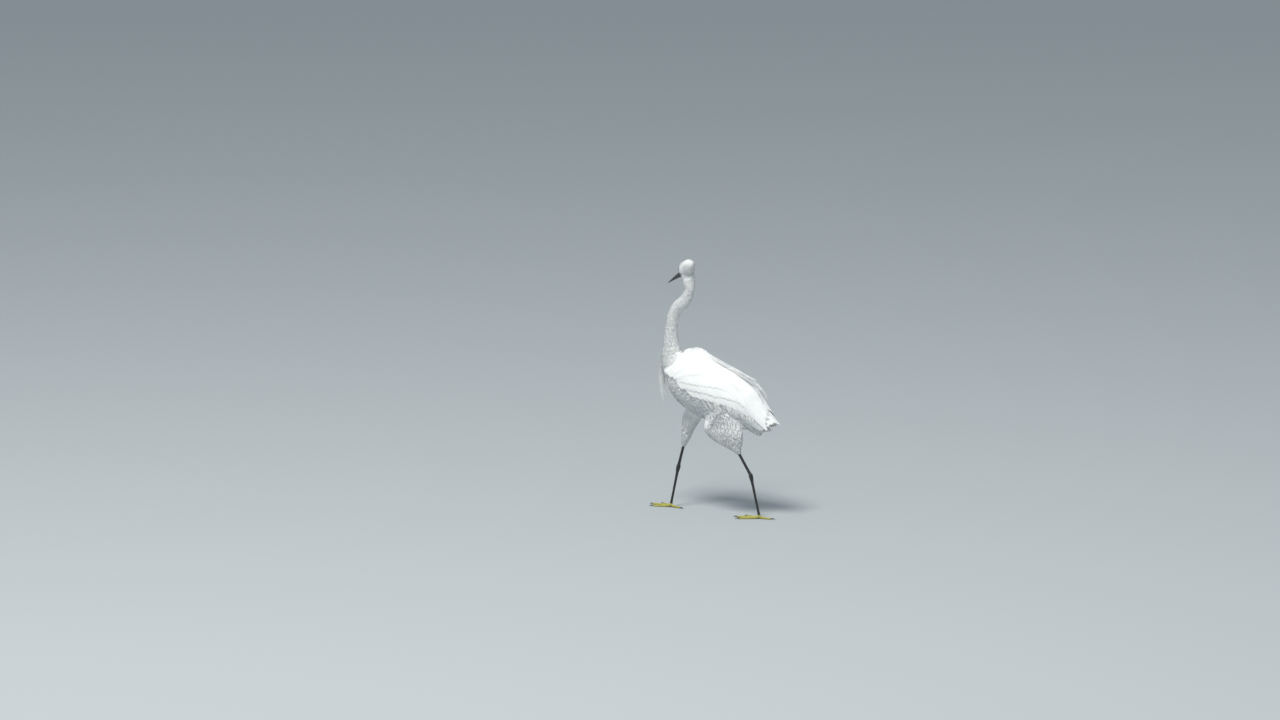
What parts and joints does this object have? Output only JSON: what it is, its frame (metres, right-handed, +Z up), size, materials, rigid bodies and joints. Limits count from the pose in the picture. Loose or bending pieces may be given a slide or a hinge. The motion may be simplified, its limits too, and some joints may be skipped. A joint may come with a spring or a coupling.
{
  "type": "little egret",
  "caption": "Life-size still model of a white little egret walking, neck raised in its S and head turned right, standing on its toes.",
  "frame": {"origin": "on the floor plane under the toes, below the middle of the bird's reach", "axes": "+Z up, -Y the way the bird walks, +X its left"},
  "size_m": [0.1187, 0.3514, 0.5838],
  "materials": {
    "plumage": "soft white feathers",
    "bill": "satin black horn",
    "eye": "glossy, pale yellow iris",
    "leg_skin": "matt black scaly skin",
    "toe_skin": "matt greenish yellow scaly skin",
    "claw": "satin dark horn"
  },
  "bodies": {
    "root": {"head": "plumage", "bill_upper": "bill", "bill_lower": "bill", "eye_left": "eye", "eye_right": "eye", "neck_upper": "plumage", "neck_middle": "plumage", "neck_lower": "plumage", "torso": "plumage", "wing_left": "plumage", "wing_right": "plumage", "tail": "plumage", "thigh_left": "plumage", "shank_left": "leg_skin", "tarsus_left": "leg_skin", "foot_left": "toe_skin", "claw_left_inner": "claw", "claw_left_middle": "claw", "claw_left_outer": "claw", "claw_left_hind": "claw", "thigh_right": "plumage", "shank_right": "leg_skin", "tarsus_right": "leg_skin", "foot_right": "toe_skin", "claw_right_inner": "claw", "claw_right_middle": "claw", "claw_right_outer": "claw", "claw_right_hind": "claw"}
  },
  "joints": []
}
